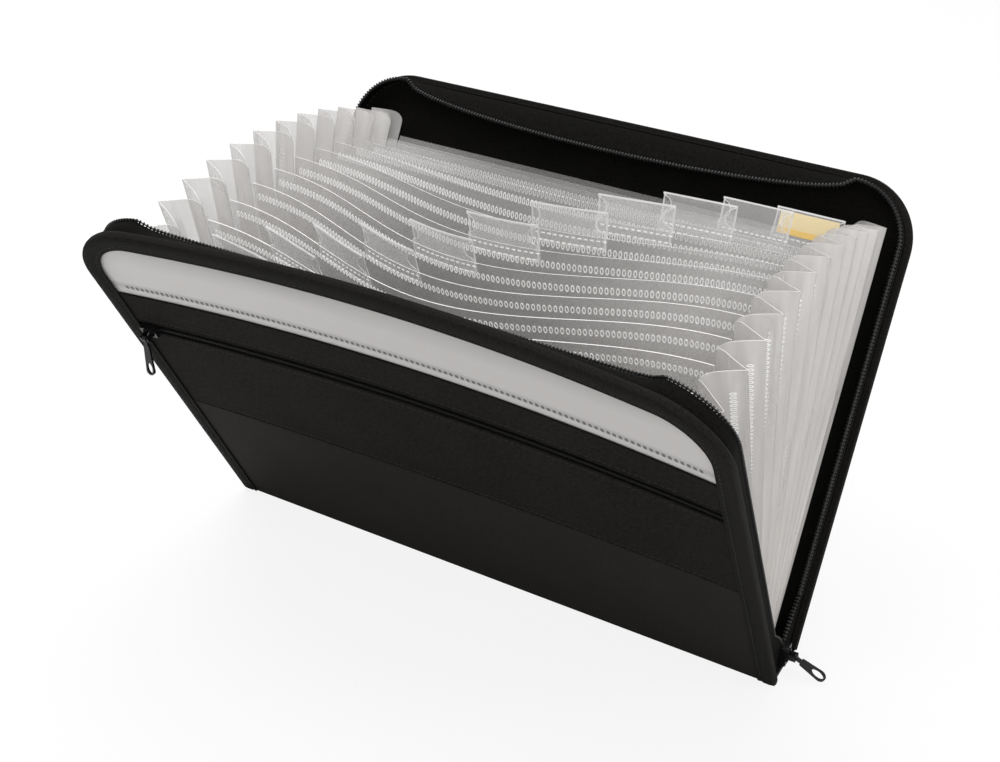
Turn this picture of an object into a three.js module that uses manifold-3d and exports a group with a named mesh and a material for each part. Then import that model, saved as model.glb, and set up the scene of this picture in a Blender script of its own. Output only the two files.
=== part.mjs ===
// Zip-round expanding file: two fabric covers spread in a V over a narrow base,
// with a folded film bellows of pockets between them. Millimetres, +Z up.
// X runs along the width, Y towards the back cover, and the base rests on z = 0.
import * as THREE from 'three';
import * as BufferGeometryUtils from 'three/addons/utils/BufferGeometryUtils.js';
import Module from 'manifold-3d';

const wasm = await Module();
wasm.setup();

// Driving dimensions of the covers and the base
const coverWidth = 345;
const coverHeight = 252;
const baseDepth = 30;
const frontLeanDeg = 26.2;
const backLeanDeg = 30.3;
const cornerRadius = 34;
const frontBow = 13;
const backBow = 3;
const fitGap = 0.3;

// Layers of a cover, from the outer face inwards
const fabricThickness = 0.6;
const boardThickness = 1.2;
const liningThickness = 0.6;
const bindingWidth = 9;
const bindingThickness = 0.6;
const bindingZipGap = 0.5;
const floorClearance = 0.3;

// Outer face of the front cover, measured up the cover
const lowerPanelTop = 102;
const pocketZipHeight = 175;
const pocketSlotWidth = 8;
const facingHeight = 28;
const windowThickness = 0.9;
const panelLap = 8;
const coverColumns = 14;

// Main zip, sewn round the edge of each cover
const zipBandDepth = 14.6;
const zipBandGap = 0.6;
const zipBandInset = 3;
const zipBandDroop = 15;
const zipBandLowEnd = 32;
const zipTapeThickness = 0.5;
const coilWidth = 2.4;
const coilHeight = 1.8;
const goreHeight = 24;
const goreNotch = 5;

// Bellows
const dividerCount = 11;
const dividerHeight = 212;
const sideMargin = 12.5;
const dividerPitch = 1.9;
const filmThickness = 0.5;
const firstDividerDeg = -18.4;
const lastDividerDeg = 27.6;
const dividerBow = 38;
const dividerBowPhase = 0.7;
const dividerColumns = 16;
const gussetHeight = 226;
const gussetReach = 19;
const gussetFoldHalf = 0.5;
const gussetClearance = 0.5;

// Index tabs
const tabWidth = 37;
const tabRise = 14;
const tabLap = 7;
const tabWall = 0.3;
const firstTabInset = 42;
const labelHeight = 12;
const labelInset = 2.5;
const labelThickness = 0.3;

// Base
const baseFabric = 0.8;
const baseBoard = 1.2;
const baseLining = 0.5;
const baseEndGap = 1;

// Zip sliders and their pulls
const mainSliderHeight = 11;
const mainSliderWidth = 7.5;
const mainSliderDepth = 3.6;
const mainSliderZ = 9.8;
const mainPullLength = 19;
const mainPullWidth = 7;
const mainPullDropDeg = 24;
const pocketSliderLength = 9;
const pocketSliderWidth = 6.6;
const pocketSliderDepth = 3;
const pocketSliderInset = 16;
const pocketPullLength = 22;
const pocketPullWidth = 5;
const pullThickness = 1.3;
const pinRadius = 0.6;
const eyeWall = 0.8;
const earWidth = 1;
const earGap = 2.8;
const earHeight = 3;
const earMargin = 0.5;
const noseShare = 0.6;
const noseRise = 1.5;
const pinClearance = 1.6;
const pullNeckLength = 3.5;
const pullNeckLap = 0.5;
const pullShoulderDrop = 2.2;
const pullShoulderShare = 0.32;
const pullRim = 0.9;
const mainHoleLength = 7.5;
const pocketHoleLength = 6.6;

// Values worked out from the driving dimensions
const windowBottom = pocketZipHeight + facingHeight;
const frontLean = THREE.MathUtils.degToRad(frontLeanDeg);
const backLean = THREE.MathUtils.degToRad(backLeanDeg);
const boardDepth = fabricThickness + fitGap;
const liningDepth = boardDepth + boardThickness + fitGap;
const coverThickness = liningDepth + liningThickness;
const endSheetDepth = coverThickness + fitGap;
const bandStart = endSheetDepth + zipBandGap;
const baseTop = baseFabric + fitGap + baseBoard + fitGap + baseLining;
const bellowsFoot = baseTop + fitGap;
const gussetFoldX = coverWidth / 2 - sideMargin - gussetReach;
const dividerHalfWidth = gussetFoldX - gussetClearance - gussetFoldHalf;
const firstTabX = firstTabInset - dividerHalfWidth;
const pocketSliderX = pocketSliderInset - coverWidth / 2;
const middleDivider = (dividerCount + 1) / 2;

// Colours
const black = new THREE.Color(0.012, 0.011, 0.01);
const darkGrey = new THREE.Color(0.022, 0.02, 0.018);
const film = new THREE.Color(0.62, 0.61, 0.6);
const frosted = new THREE.Color(0.6, 0.58, 0.56);
const metalBlack = new THREE.Color(0.03, 0.03, 0.032);
const labelYellow = new THREE.Color(0.9, 0.72, 0.33);

const model = new THREE.Group();
const frontGroup = new THREE.Group();
const backGroup = new THREE.Group();
const bellowsGroup = new THREE.Group();
const baseGroup = new THREE.Group();
model.add(frontGroup, backGroup, bellowsGroup, baseGroup);

function addMesh(group, name, geometry, color, roughness, metalness = 0) {
  const material = new THREE.MeshStandardMaterial({ color, roughness, metalness });
  const mesh = new THREE.Mesh(geometry, material);
  mesh.name = name;
  group.add(mesh);
  return mesh;
}

// A closed slab between two sheets of points: point(i, j, side) gives a corner,
// and the faces are turned to point out whatever way the sheet runs.
function slab(columns, rows, point) {
  const positions = [];
  const index = [];
  const at = (i, j, side) => (side * (rows + 1) + j) * (columns + 1) + i;
  for (let side = 0; side < 2; side += 1) {
    for (let j = 0; j <= rows; j += 1) {
      for (let i = 0; i <= columns; i += 1) {
        const p = point(i, j, side);
        positions.push(p.x, p.y, p.z);
      }
    }
  }
  const quad = (a, b, c, d) => index.push(a, b, c, a, c, d);
  for (let j = 0; j < rows; j += 1) {
    for (let i = 0; i < columns; i += 1) {
      quad(at(i, j, 0), at(i + 1, j, 0), at(i + 1, j + 1, 0), at(i, j + 1, 0));
      quad(at(i, j, 1), at(i, j + 1, 1), at(i + 1, j + 1, 1), at(i + 1, j, 1));
    }
    quad(at(0, j, 0), at(0, j + 1, 0), at(0, j + 1, 1), at(0, j, 1));
    quad(at(columns, j, 0), at(columns, j, 1), at(columns, j + 1, 1), at(columns, j + 1, 0));
  }
  for (let i = 0; i < columns; i += 1) {
    quad(at(i, 0, 0), at(i, 0, 1), at(i + 1, 0, 1), at(i + 1, 0, 0));
    quad(at(i, rows, 0), at(i + 1, rows, 0), at(i + 1, rows, 1), at(i, rows, 1));
  }
  if (signedVolume(positions, index) < 0) {
    index.reverse();
  }
  const geometry = new THREE.BufferGeometry();
  geometry.setAttribute('position', new THREE.Float32BufferAttribute(positions, 3));
  geometry.setIndex(index);
  geometry.computeVertexNormals();
  return geometry;
}

function signedVolume(positions, index) {
  const corner = (k) => new THREE.Vector3().fromArray(positions, index[k] * 3);
  let volume = 0;
  for (let k = 0; k < index.length; k += 3) {
    volume += corner(k).dot(corner(k + 1).cross(corner(k + 2)));
  }
  return volume / 6;
}

// Boolean joins and cuts
function toSolid(geometry) {
  const plain = geometry.clone();
  plain.deleteAttribute('normal');
  plain.deleteAttribute('uv');
  const merged = BufferGeometryUtils.mergeVertices(plain, 1e-4);
  const vertProperties = new Float32Array(merged.attributes.position.array);
  const triVerts = new Uint32Array(merged.index.array);
  return new wasm.Manifold(new wasm.Mesh({ numProp: 3, vertProperties, triVerts }));
}

function toGeometry(solid) {
  const mesh = solid.getMesh();
  const geometry = new THREE.BufferGeometry();
  geometry.setAttribute('position', new THREE.BufferAttribute(mesh.vertProperties, 3));
  geometry.setIndex(new THREE.BufferAttribute(mesh.triVerts, 1));
  geometry.computeVertexNormals();
  return geometry;
}

function join(...geometries) {
  return toGeometry(geometries.map(toSolid).reduce((sum, next) => sum.add(next)));
}

function cut(geometry, ...tools) {
  return toGeometry(tools.map(toSolid).reduce((rest, tool) => rest.subtract(tool), toSolid(geometry)));
}

function box(sizeX, sizeY, sizeZ, x, y, z) {
  return new THREE.BoxGeometry(sizeX, sizeY, sizeZ).translate(x, y, z);
}

// Cover surface. x runs across, up runs along the cover from its foot, and depth
// goes inwards from the outer face. Each cover bows inwards, most at its top.
const front = { sign: -1, lean: frontLean, bow: frontBow, group: frontGroup, name: 'front' };
const back = { sign: 1, lean: backLean, bow: backBow, group: backGroup, name: 'back' };

function bowAt(cover, x, up) {
  const across = 1 - (x / (coverWidth / 2)) ** 2;
  return cover.bow * across * (Math.max(up, 0) / coverHeight) ** 1.5;
}

function onCover(cover, x, up, depth) {
  const inward = depth + bowAt(cover, x, up);
  const y = cover.sign * (baseDepth / 2 + up * Math.sin(cover.lean) - inward * Math.cos(cover.lean));
  const z = up * Math.cos(cover.lean) + inward * Math.sin(cover.lean);
  return new THREE.Vector3(x, y, z);
}

// Half width of the cover at a height, less an inset, with the rounded top corners
function halfWidthAt(up, inset) {
  const radius = cornerRadius - inset;
  const over = Math.max(0, up - (coverHeight - cornerRadius));
  return coverWidth / 2 - cornerRadius + Math.sqrt(Math.max(0, radius ** 2 - over ** 2));
}

// Heights for a panel: even steps up to the corner, then steps round its arc
function panelHeights(low, high, steps, inset) {
  const heights = [];
  const cornerStart = coverHeight - cornerRadius;
  const straightTop = Math.min(high, cornerStart);
  if (low < straightTop) {
    for (let k = 0; k <= steps; k += 1) {
      heights.push(low + ((straightTop - low) * k) / steps);
    }
  }
  if (high > cornerStart) {
    const arcSteps = 5;
    const radius = cornerRadius - inset;
    const lowAngle = Math.asin(Math.max(0, low - cornerStart) / radius);
    const topAngle = Math.asin(Math.min(1, (high - cornerStart) / radius));
    for (let k = low < straightTop ? 1 : 0; k <= arcSteps; k += 1) {
      heights.push(cornerStart + radius * Math.sin(lowAngle + ((topAngle - lowAngle) * k) / arcSteps));
    }
  }
  return heights;
}

function coverPanel(cover, { low, high, inset, depth, thickness, columns = coverColumns, steps = 5 }) {
  const heights = panelHeights(low, high, steps, inset);
  return slab(columns, heights.length - 1, (i, j, side) => {
    const x = halfWidthAt(heights[j], inset) * ((2 * i) / columns - 1);
    return onCover(cover, x, heights[j], depth + side * thickness);
  });
}

// Path up one side, round the top and down the other side of a cover
function edgePath(low, inset) {
  const radius = cornerRadius - inset;
  const straightX = coverWidth / 2 - inset;
  const cornerX = coverWidth / 2 - cornerRadius;
  const cornerUp = coverHeight - cornerRadius;
  const path = [];
  const sideSteps = 6;
  const arcSteps = 5;
  const topSteps = 12;
  for (let k = 0; k < sideSteps; k += 1) {
    path.push([-straightX, low + ((cornerUp - low) * k) / sideSteps]);
  }
  for (let k = 0; k < arcSteps; k += 1) {
    const angle = (Math.PI / 2) * (k / arcSteps);
    path.push([-cornerX - radius * Math.cos(angle), cornerUp + radius * Math.sin(angle)]);
  }
  for (let k = 0; k <= topSteps; k += 1) {
    path.push([cornerX * ((2 * k) / topSteps - 1), cornerUp + radius]);
  }
  const left = path.slice(0, sideSteps + arcSteps);
  return path.concat(left.reverse().map(([x, up]) => [-x, up]));
}

// How far the zip's free edge sags inwards from the cover's edge along the top
function droopAt(x, up) {
  const along = Math.max(0, 1 - (x / (coverWidth / 2 - cornerRadius)) ** 2);
  const high = THREE.MathUtils.smoothstep(up, coverHeight - cornerRadius, coverHeight - 1);
  return zipBandDroop * Math.sqrt(along) * high;
}

function edgeStrip(cover, low, profile) {
  const columns = edgePath(low, 0).length - 1;
  const paths = new Map();
  const pathFor = (inset) => {
    if (!paths.has(inset)) {
      paths.set(inset, edgePath(low, inset));
    }
    return paths.get(inset);
  };
  return slab(columns, profile.length - 1, (i, j, side) => {
    const [inset, depth, droopShare] = profile[j][side];
    const [x, up] = pathFor(inset)[i];
    return onCover(cover, x, up - droopShare * droopAt(x, up), depth);
  });
}

// Bound edge: a tape folded over the outer and inner faces of the cover
function bindingProfile() {
  const skin = fitGap + bindingThickness;
  const outerInset = -skin;
  const innerDepth = coverThickness + fitGap;
  const foot = zipBandInset - bindingZipGap;
  return [
    [[bindingWidth, -skin, 0], [bindingWidth, -fitGap, 0]],
    [[outerInset, -skin, 0], [-fitGap, -fitGap, 0]],
    [[outerInset, innerDepth + bindingThickness, 0], [-fitGap, innerDepth, 0]],
    [[foot, innerDepth + bindingThickness, 0], [foot, innerDepth, 0]],
  ];
}

function zipTapeProfile() {
  const coilFoot = zipBandDepth - coilHeight - fitGap;
  const middle = (bandStart + coilFoot) / 2;
  const ends = [[bandStart, 0], [middle, 0.4], [coilFoot, 1]];
  return ends.map(([depth, share]) => [
    [zipBandInset, depth, share],
    [zipBandInset + zipTapeThickness, depth, share],
  ]);
}

function coilProfile() {
  const inset = zipBandInset + (zipTapeThickness - coilWidth) / 2;
  const foot = zipBandDepth - coilHeight;
  return [
    [[inset, foot, 1], [inset + coilWidth, foot, 1]],
    [[inset, zipBandDepth, 1], [inset + coilWidth, zipBandDepth, 1]],
  ];
}

function buildCoverEdge(cover) {
  const low = bindingThickness + fitGap + floorClearance;
  const name = cover.name;
  addMesh(cover.group, `${name}_binding`, edgeStrip(cover, low, bindingProfile()), black, 0.9);
  addMesh(cover.group, `${name}_zip_tape`, edgeStrip(cover, zipBandLowEnd, zipTapeProfile()), black, 0.95);
  addMesh(cover.group, `${name}_zip_coil`, edgeStrip(cover, zipBandLowEnd, coilProfile()), metalBlack, 0.4);
}

function buildFrontCover() {
  const slotLow = pocketZipHeight - pocketSlotWidth / 2;
  const slotHigh = pocketZipHeight + pocketSlotWidth / 2;
  const inset = 0;
  const panels = [
    ['lower_panel', floorClearance, lowerPanelTop, 0, darkGrey],
    ['pocket_panel', lowerPanelTop + fitGap, slotLow, 0, black],
    ['zip_facing', slotHigh, windowBottom, 0, black],
  ];
  for (const [name, low, high, depth, color] of panels) {
    const geometry = coverPanel(front, { low, high, inset, depth, thickness: fabricThickness, steps: 3 });
    addMesh(frontGroup, `front_${name}`, geometry, color, 0.85);
  }
  addMesh(frontGroup, 'front_window', coverPanel(front, {
    low: windowBottom - panelLap,
    high: coverHeight,
    inset,
    depth: boardDepth,
    thickness: windowThickness,
    steps: 2,
  }), frosted, 0.35);
  const tapeLow = slotLow - panelLap / 2;
  const tapeHigh = slotHigh + panelLap / 2;
  addMesh(frontGroup, 'pocket_zip_tape', coverPanel(front, {
    low: tapeLow,
    high: tapeHigh,
    inset,
    depth: boardDepth,
    thickness: zipTapeThickness,
    steps: 1,
  }), black, 0.95);
  addMesh(frontGroup, 'pocket_zip_coil', coverPanel(front, {
    low: pocketZipHeight - coilWidth / 2,
    high: pocketZipHeight + coilWidth / 2,
    inset: bindingWidth,
    depth: boardDepth - fitGap - coilHeight / 2,
    thickness: coilHeight / 2,
    steps: 1,
  }), metalBlack, 0.4);
  const boardDeep = boardDepth + zipTapeThickness + fitGap;
  addMesh(frontGroup, 'front_board', coverPanel(front, {
    low: floorClearance,
    high: windowBottom - panelLap - fitGap,
    inset,
    depth: boardDeep,
    thickness: liningDepth - fitGap - boardDeep,
  }), darkGrey, 0.8);
  addMesh(frontGroup, 'front_lining', coverPanel(front, {
    low: floorClearance,
    high: windowBottom - fitGap,
    inset,
    depth: liningDepth,
    thickness: liningThickness,
  }), black, 0.85);
  buildCoverEdge(front);
}

function buildBackCover() {
  const layers = [
    ['outer_cloth', 0, fabricThickness, black],
    ['board', boardDepth, boardThickness, darkGrey],
    ['lining', liningDepth, liningThickness, black],
  ];
  for (const [name, depth, thickness, color] of layers) {
    addMesh(backGroup, `back_${name}`, coverPanel(back, {
      low: floorClearance,
      high: coverHeight,
      inset: 0,
      depth,
      thickness,
    }), color, 0.85);
  }
  buildCoverEdge(back);
}

// Film sheets of the bellows
function dividerAngle(k) {
  const share = (k - 1) / (dividerCount - 1);
  return THREE.MathUtils.degToRad(firstDividerDeg + (lastDividerDeg - firstDividerDeg) * share);
}

function dividerFootY(k) {
  return (k - middleDivider) * dividerPitch;
}

function bellAt(column) {
  const x = 2 * (column / dividerColumns) - 1;
  return Math.cos((Math.PI / 2) * THREE.MathUtils.clamp(x, -1, 1)) ** 2;
}

// Bow of divider k, straight between its columns so that what sits on it fits
function dividerBowAt(k, x, up) {
  const amplitude = dividerBow * Math.sin((Math.PI * (k + dividerBowPhase)) / (dividerCount + 1));
  const column = ((x / dividerHalfWidth + 1) * dividerColumns) / 2;
  const low = Math.floor(column + 1e-6);
  const bell = THREE.MathUtils.lerp(bellAt(low), bellAt(low + 1), column - low);
  return -amplitude * bell * (Math.max(up, 0) / dividerHeight) ** 1.3;
}

// Places across divider k from one x to another, with its own columns between
function stationsAcross(fromX, toX) {
  const stations = [fromX];
  for (let i = 0; i <= dividerColumns; i += 1) {
    const x = dividerHalfWidth * ((2 * i) / dividerColumns - 1);
    if (x > fromX + 0.5 && x < toX - 0.5) {
      stations.push(x);
    }
  }
  stations.push(toX);
  return stations;
}

// Point of divider k: x across, up from its foot, offset towards the back
function onDivider(k, x, up, offset) {
  const angle = dividerAngle(k);
  const out = offset + dividerBowAt(k, x, up);
  const y = dividerFootY(k) + up * Math.sin(angle) + out * Math.cos(angle);
  const z = bellowsFoot + filmThickness + up * Math.cos(angle) - out * Math.sin(angle);
  return new THREE.Vector3(x, y, z);
}

function buildDivider(k) {
  const rows = 4;
  const geometry = slab(dividerColumns, rows, (i, j, side) => {
    const x = dividerHalfWidth * ((2 * i) / dividerColumns - 1);
    return onDivider(k, x, (dividerHeight * j) / rows, (side - 0.5) * filmThickness);
  });
  addMesh(bellowsGroup, `divider_${String(k).padStart(2, '0')}`, geometry, film, 0.3);
}

// Index tab: a clear sleeve folded over the top edge of its divider
function tabCentreX(k) {
  const lastTabX = dividerHalfWidth - tabWidth / 2;
  return firstTabX + ((lastTabX - firstTabX) * (k - 1)) / (dividerCount - 1);
}

function buildTab(k) {
  const stations = stationsAcross(tabCentreX(k) - tabWidth / 2, tabCentreX(k) + tabWidth / 2);
  const inner = filmThickness / 2 + fitGap;
  const outer = inner + tabWall;
  const low = dividerHeight - tabLap;
  const high = dividerHeight + tabRise;
  const profile = [
    [[low, -outer], [low, -inner]],
    [[high, -outer], [high - tabWall, -inner]],
    [[high, outer], [high - tabWall, inner]],
    [[low, outer], [low, inner]],
  ];
  const geometry = slab(stations.length - 1, profile.length - 1, (i, j, side) => {
    const [up, offset] = profile[j][side];
    return onDivider(k, stations[i], up, offset);
  });
  addMesh(bellowsGroup, `tab_${String(k).padStart(2, '0')}`, geometry, film, 0.15);
}

function buildLabel() {
  const halfWidth = tabWidth / 2 - labelInset;
  const centre = tabCentreX(dividerCount);
  const stations = stationsAcross(centre - halfWidth, centre + halfWidth);
  const low = dividerHeight + fitGap;
  const geometry = slab(stations.length - 1, 1, (i, j, side) => {
    return onDivider(dividerCount, stations[i], low + labelHeight * j, (side - 0.5) * labelThickness);
  });
  addMesh(bellowsGroup, 'tab_label', geometry, labelYellow, 0.8);
}

function buildEndSheet(cover) {
  const rows = 4;
  const geometry = slab(coverColumns, rows, (i, j, side) => {
    const x = dividerHalfWidth * ((2 * i) / coverColumns - 1);
    const up = bellowsFoot + filmThickness + (dividerHeight * j) / rows;
    return onCover(cover, x, up, endSheetDepth + side * filmThickness);
  });
  addMesh(cover.group, `bellows_${cover.name}_sheet`, geometry, film, 0.3);
}

// Gusset: one zigzag film from the front sheet to the back sheet, folding out
// between the dividers and back in at each divider's side edge.
function buildGusset(name, sideSign) {
  const columns = 2 * (dividerCount + 1);
  const rows = 3;
  const startDepth = endSheetDepth + filmThickness + fitGap;
  const fold = (station, up) => {
    if (station === 0) {
      return onCover(front, gussetFoldX, up + bellowsFoot, startDepth);
    }
    if (station === columns) {
      return onCover(back, gussetFoldX, up + bellowsFoot, startDepth);
    }
    return onDivider(station / 2, gussetFoldX, up, 0);
  };
  const geometry = slab(columns, rows, (i, j, side) => {
    const up = fitGap + ((gussetHeight - fitGap) * j) / rows;
    const outward = (side * 2 - 1) * gussetFoldHalf;
    const p = i % 2 === 0
      ? fold(i, up)
      : fold(i - 1, up).add(fold(i + 1, up)).multiplyScalar(0.5);
    p.x = sideSign * (gussetFoldX + (i % 2 === 0 ? 0 : gussetReach) + outward);
    return p;
  });
  addMesh(bellowsGroup, name, geometry, film, 0.3);
}

// Base: fabric below, board, lining, and the closed foot of the zip at each end
function buildBase() {
  const halfDepth = baseDepth / 2 - coverThickness - bindingThickness - 2 * fitGap;
  const layers = [
    ['base_cloth', 0, baseFabric, black],
    ['base_board', baseFabric + fitGap, baseBoard, darkGrey],
    ['base_lining', baseFabric + baseBoard + 2 * fitGap, baseLining, black],
  ];
  for (const [name, low, thickness, color] of layers) {
    const geometry = box(coverWidth - 2 * baseEndGap, 2 * halfDepth, thickness, 0, 0, low + thickness / 2);
    addMesh(baseGroup, name, geometry, color, 0.85);
  }
  const goreX = coverWidth / 2 - zipBandInset - zipTapeThickness;
  const goreFoot = bellowsFoot;
  const innerLean = Math.tan(frontLean);
  const shape = new THREE.Shape();
  shape.moveTo(-halfDepth, goreFoot);
  shape.lineTo(halfDepth, goreFoot);
  shape.lineTo(halfDepth + innerLean * goreHeight, goreFoot + goreHeight);
  shape.lineTo(0, goreFoot + goreHeight - goreNotch);
  shape.lineTo(-halfDepth - innerLean * goreHeight, goreFoot + goreHeight);
  shape.closePath();
  for (const [name, sideSign] of [['left', -1], ['right', 1]]) {
    const gore = new THREE.ExtrudeGeometry(shape, { depth: zipTapeThickness, bevelEnabled: false });
    gore.rotateX(Math.PI / 2);
    gore.rotateZ(Math.PI / 2);
    gore.translate(sideSign * (goreX + zipTapeThickness / 2) - zipTapeThickness / 2, 0, 0);
    addMesh(baseGroup, `zip_gore_${name}`, gore, black, 0.95);
  }
  return goreX + zipTapeThickness;
}

// Slider: a body with two ears and a pin. It is drawn with its face along +Y,
// its length along X, and its pin parallel to X at the given height over the face.
function sliderGeometry(length, width, depth) {
  const body = box(length, depth, width, 0, 0, 0);
  const nose = box(length * noseShare, noseRise, width * noseShare, 0, depth / 2, 0);
  const earReach = depth / 2 + pinReach() + pinRadius + earMargin;
  const earX = (earGap + earWidth) / 2;
  const ear = (x) => box(earWidth, earReach, earHeight, x, earReach / 2, 0);
  const pin = new THREE.CylinderGeometry(pinRadius, pinRadius, earGap + earWidth, 12);
  pin.rotateZ(Math.PI / 2);
  pin.translate(0, depth / 2 + pinReach(), 0);
  return join(body, nose, ear(-earX), ear(earX), pin);
}

function pinReach() {
  return pinRadius + eyeWall + 2 * fitGap + pinClearance;
}

// Pull: a flat tongue with an eye round the pin at the origin and a hole near its
// end. It hangs along -Z with its width along X.
function pullGeometry(length, width, holeLong) {
  const eyeWidth = earGap - 2 * fitGap;
  const eyeRadius = pinRadius + fitGap + eyeWall;
  const eye = new THREE.CylinderGeometry(eyeRadius, eyeRadius, eyeWidth, 16).rotateZ(Math.PI / 2);
  const boreRadius = pinRadius + fitGap;
  const bore = new THREE.CylinderGeometry(boreRadius, boreRadius, width, 16).rotateZ(Math.PI / 2);
  const neckDrop = eyeRadius + pullNeckLength / 2 - pullNeckLap;
  const neck = box(eyeWidth, pullThickness, pullNeckLength, 0, 0, -neckDrop);
  const shape = new THREE.Shape();
  const top = -eyeRadius - pullShoulderDrop;
  const radius = width / 2;
  shape.moveTo(-width * pullShoulderShare, top);
  shape.lineTo(-radius, -length + radius);
  shape.absarc(0, -length + radius, radius, Math.PI, 2 * Math.PI, false);
  shape.lineTo(width * pullShoulderShare, top);
  shape.closePath();
  const hole = new THREE.Path();
  const holeMiddle = -length + pullRim + holeLong / 2;
  hole.absellipse(0, holeMiddle, radius - pullRim, holeLong / 2, 0, 2 * Math.PI, true);
  shape.holes.push(hole);
  const settings = { depth: pullThickness, bevelEnabled: false, curveSegments: 10 };
  const tongue = new THREE.ExtrudeGeometry(shape, settings);
  tongue.rotateX(Math.PI / 2);
  tongue.translate(0, pullThickness / 2, 0);
  return cut(join(eye, neck, tongue), bore);
}

function buildMainZipEnd(faceX) {
  const body = sliderGeometry(mainSliderWidth, mainSliderHeight, mainSliderDepth);
  const centreX = faceX + fitGap + mainSliderDepth / 2;
  const slider = addMesh(baseGroup, 'main_slider', body, metalBlack, 0.35, 0.8);
  slider.rotation.z = -Math.PI / 2;
  slider.position.set(centreX, 0, mainSliderZ);
  const pull = pullGeometry(mainPullLength, mainPullWidth, mainHoleLength);
  const pullMesh = addMesh(baseGroup, 'main_pull', pull, metalBlack, 0.35, 0.8);
  const turn = new THREE.Euler(THREE.MathUtils.degToRad(90 - mainPullDropDeg), 0, -Math.PI / 2, 'ZYX');
  pullMesh.rotation.copy(turn);
  pullMesh.position.set(centreX + mainSliderDepth / 2 + pinReach(), 0, mainSliderZ);
}

function buildPocketZipEnd() {
  const body = sliderGeometry(pocketSliderLength, pocketSliderWidth, pocketSliderDepth);
  const centreDepth = boardDepth - 2 * fitGap - coilHeight / 2 - pocketSliderDepth / 2;
  const at = (x, up, depth) => onCover(front, x, up, depth);
  const tangent = at(pocketSliderX + 1, pocketZipHeight, 0).sub(at(pocketSliderX - 1, pocketZipHeight, 0));
  tangent.normalize();
  const outward = new THREE.Vector3(0, -Math.cos(frontLean), -Math.sin(frontLean));
  outward.addScaledVector(tangent, -outward.dot(tangent)).normalize();
  const reversed = tangent.clone().negate();
  const upward = new THREE.Vector3().crossVectors(reversed, outward);
  const slider = addMesh(frontGroup, 'pocket_slider', body, metalBlack, 0.35, 0.8);
  slider.quaternion.setFromRotationMatrix(new THREE.Matrix4().makeBasis(reversed, outward, upward));
  slider.position.copy(at(pocketSliderX, pocketZipHeight, centreDepth));
  const pull = pullGeometry(pocketPullLength, pocketPullWidth, pocketHoleLength);
  const pullMesh = addMesh(frontGroup, 'pocket_pull', pull, metalBlack, 0.35, 0.8);
  const hang = new THREE.Vector3(0, 0, 1).addScaledVector(tangent, -tangent.z).normalize();
  const across = new THREE.Vector3().crossVectors(hang, tangent);
  pullMesh.quaternion.setFromRotationMatrix(new THREE.Matrix4().makeBasis(tangent, across, hang));
  pullMesh.position.copy(slider.position).addScaledVector(outward, pocketSliderDepth / 2 + pinReach());
}

buildFrontCover();
buildBackCover();
buildEndSheet(front);
buildEndSheet(back);
for (let k = 1; k <= dividerCount; k += 1) {
  buildDivider(k);
  buildTab(k);
}
buildLabel();
buildGusset('left_gusset', -1);
buildGusset('right_gusset', 1);
buildMainZipEnd(buildBase());
buildPocketZipEnd();

export default model;
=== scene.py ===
# Looks of a zip-round expanding file: cloth covers, a clear film bellows with index
# tabs, and zips with their teeth. Lengths are in millimetres until a mesh is made.
import math

import bmesh
import bpy
import numpy as np
from mathutils import Matrix, Vector


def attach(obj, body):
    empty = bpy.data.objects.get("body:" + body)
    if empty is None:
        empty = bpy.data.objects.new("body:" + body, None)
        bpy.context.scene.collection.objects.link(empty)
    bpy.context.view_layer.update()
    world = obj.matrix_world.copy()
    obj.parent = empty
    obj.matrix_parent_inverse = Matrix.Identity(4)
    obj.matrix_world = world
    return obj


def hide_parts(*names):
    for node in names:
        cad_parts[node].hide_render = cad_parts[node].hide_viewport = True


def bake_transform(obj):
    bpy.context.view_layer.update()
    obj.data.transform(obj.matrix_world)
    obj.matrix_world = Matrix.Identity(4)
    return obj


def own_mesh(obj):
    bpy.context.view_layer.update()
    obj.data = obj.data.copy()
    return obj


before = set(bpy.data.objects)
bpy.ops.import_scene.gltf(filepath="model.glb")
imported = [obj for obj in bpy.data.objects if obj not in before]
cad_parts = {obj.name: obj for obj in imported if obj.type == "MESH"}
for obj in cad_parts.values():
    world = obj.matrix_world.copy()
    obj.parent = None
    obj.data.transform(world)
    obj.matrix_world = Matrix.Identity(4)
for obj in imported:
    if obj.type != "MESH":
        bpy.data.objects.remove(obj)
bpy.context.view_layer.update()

MM = 0.001

# Driving sizes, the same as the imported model's
COVER_WIDTH = 345
COVER_HEIGHT = 252
BASE_DEPTH = 30
CORNER_RADIUS = 34
FABRIC = 0.6
BOARD_DEPTH = 0.9
BOARD = 1.2
LINING_DEPTH = 2.4
COVER_THICKNESS = 3.0
END_SHEET_DEPTH = 3.3
BAND_START = 3.9
FLOOR_CLEARANCE = 0.3
FIT_GAP = 0.3
BINDING_WIDTH = 9
BINDING_THICKNESS = 0.6
LOWER_PANEL_TOP = 102
POCKET_ZIP_UP = 175
POCKET_SLOT = 8
SLOT_LOW = POCKET_ZIP_UP - POCKET_SLOT / 2
SLOT_HIGH = POCKET_ZIP_UP + POCKET_SLOT / 2
WINDOW_BOTTOM = 203
WINDOW_THICKNESS = 0.9
PANEL_LAP = 8
ZIP_BAND_DEPTH = 14.6
ZIP_BAND_INSET = 3
ZIP_BAND_DROOP = 15
ZIP_LOW_END = 32
ZIP_TAPE = 0.5
COIL_WIDTH = 2.4
COIL_HEIGHT = 1.8
DIVIDERS = 11
DIVIDER_HEIGHT = 212
DIVIDER_HALF = 140
DIVIDER_PITCH = 1.9
FIRST_DEG = -18.4
LAST_DEG = 27.6
DIVIDER_BOW = 38
BELLOWS_FOOT = 3.9
FILM = 0.4
GUSSET_HEIGHT = 226
GUSSET_FOLD_X = 141
GUSSET_REACH = 19
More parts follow.
